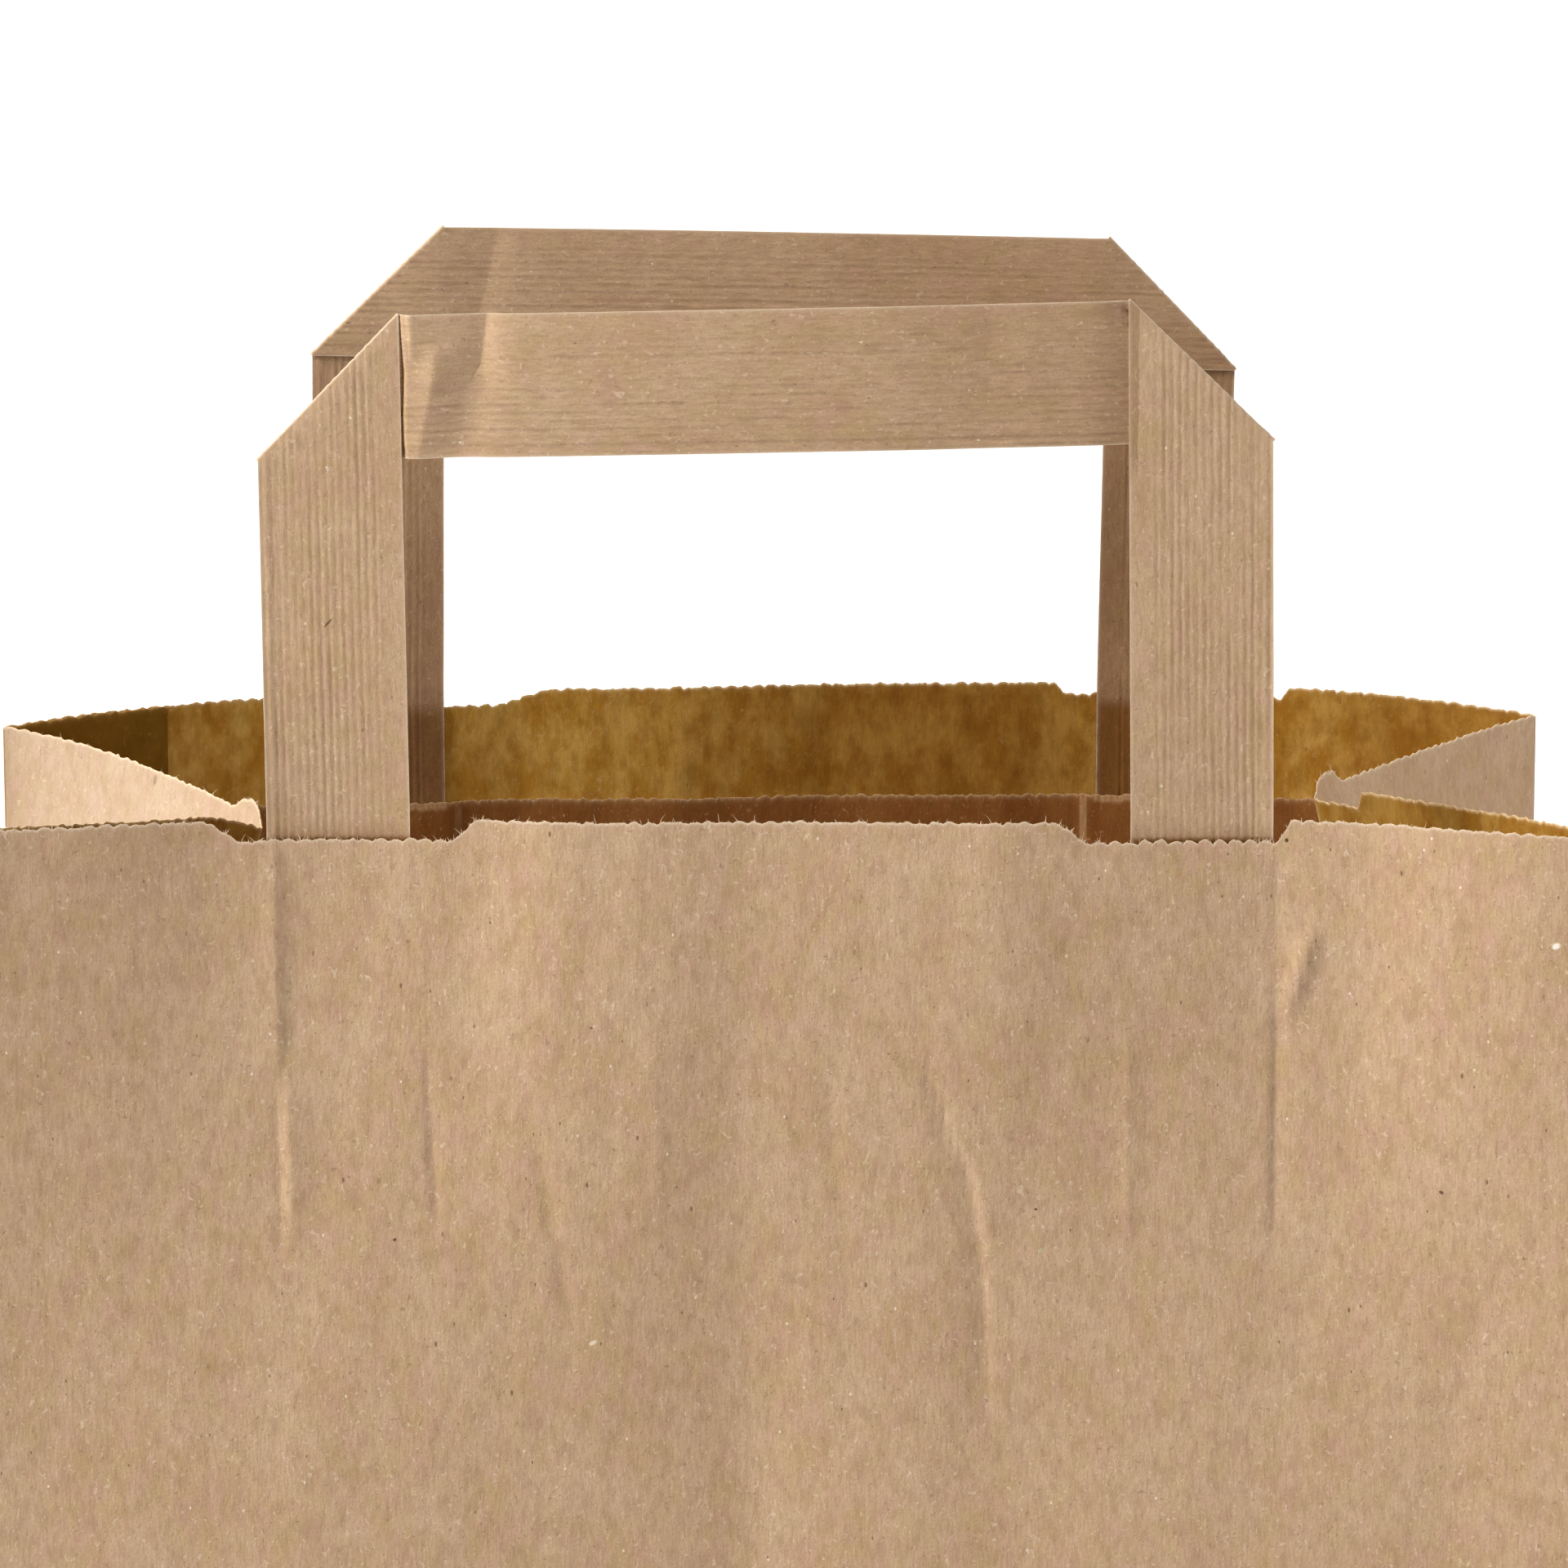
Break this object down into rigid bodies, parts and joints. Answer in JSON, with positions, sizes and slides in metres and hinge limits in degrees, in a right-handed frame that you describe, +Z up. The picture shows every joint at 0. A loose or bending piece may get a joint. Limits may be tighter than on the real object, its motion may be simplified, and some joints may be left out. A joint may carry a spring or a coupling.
{
  "type": "paper carrier bag",
  "caption": "Open kraft paper carrier bag with block bottom, folded side gussets, saw-cut mouth and flat folded tape handles glued inside.",
  "frame": {"origin": "middle of the base, on the underside of the outermost bottom flap", "axes": "+Z up through the mouth and handles, +X along the wide walls, +Y from the front wall to the back wall"},
  "size_m": [0.32, 0.1745, 0.3672],
  "materials": {
    "kraft_paper": "uncoated brown kraft, fine fibres and flecks, soft vertical grain, warmer and darker inside",
    "ribbed_tape": "laminated kraft tape with fine lengthwise ribs, matt",
    "patch_paper": "uncoated brown kraft, saw-cut upper edge, matt"
  },
  "bodies": {
    "root": {"bag_body": "kraft_paper", "front_handle": "ribbed_tape", "back_handle": "ribbed_tape", "front_patch": "patch_paper", "back_patch": "patch_paper"}
  },
  "joints": []
}
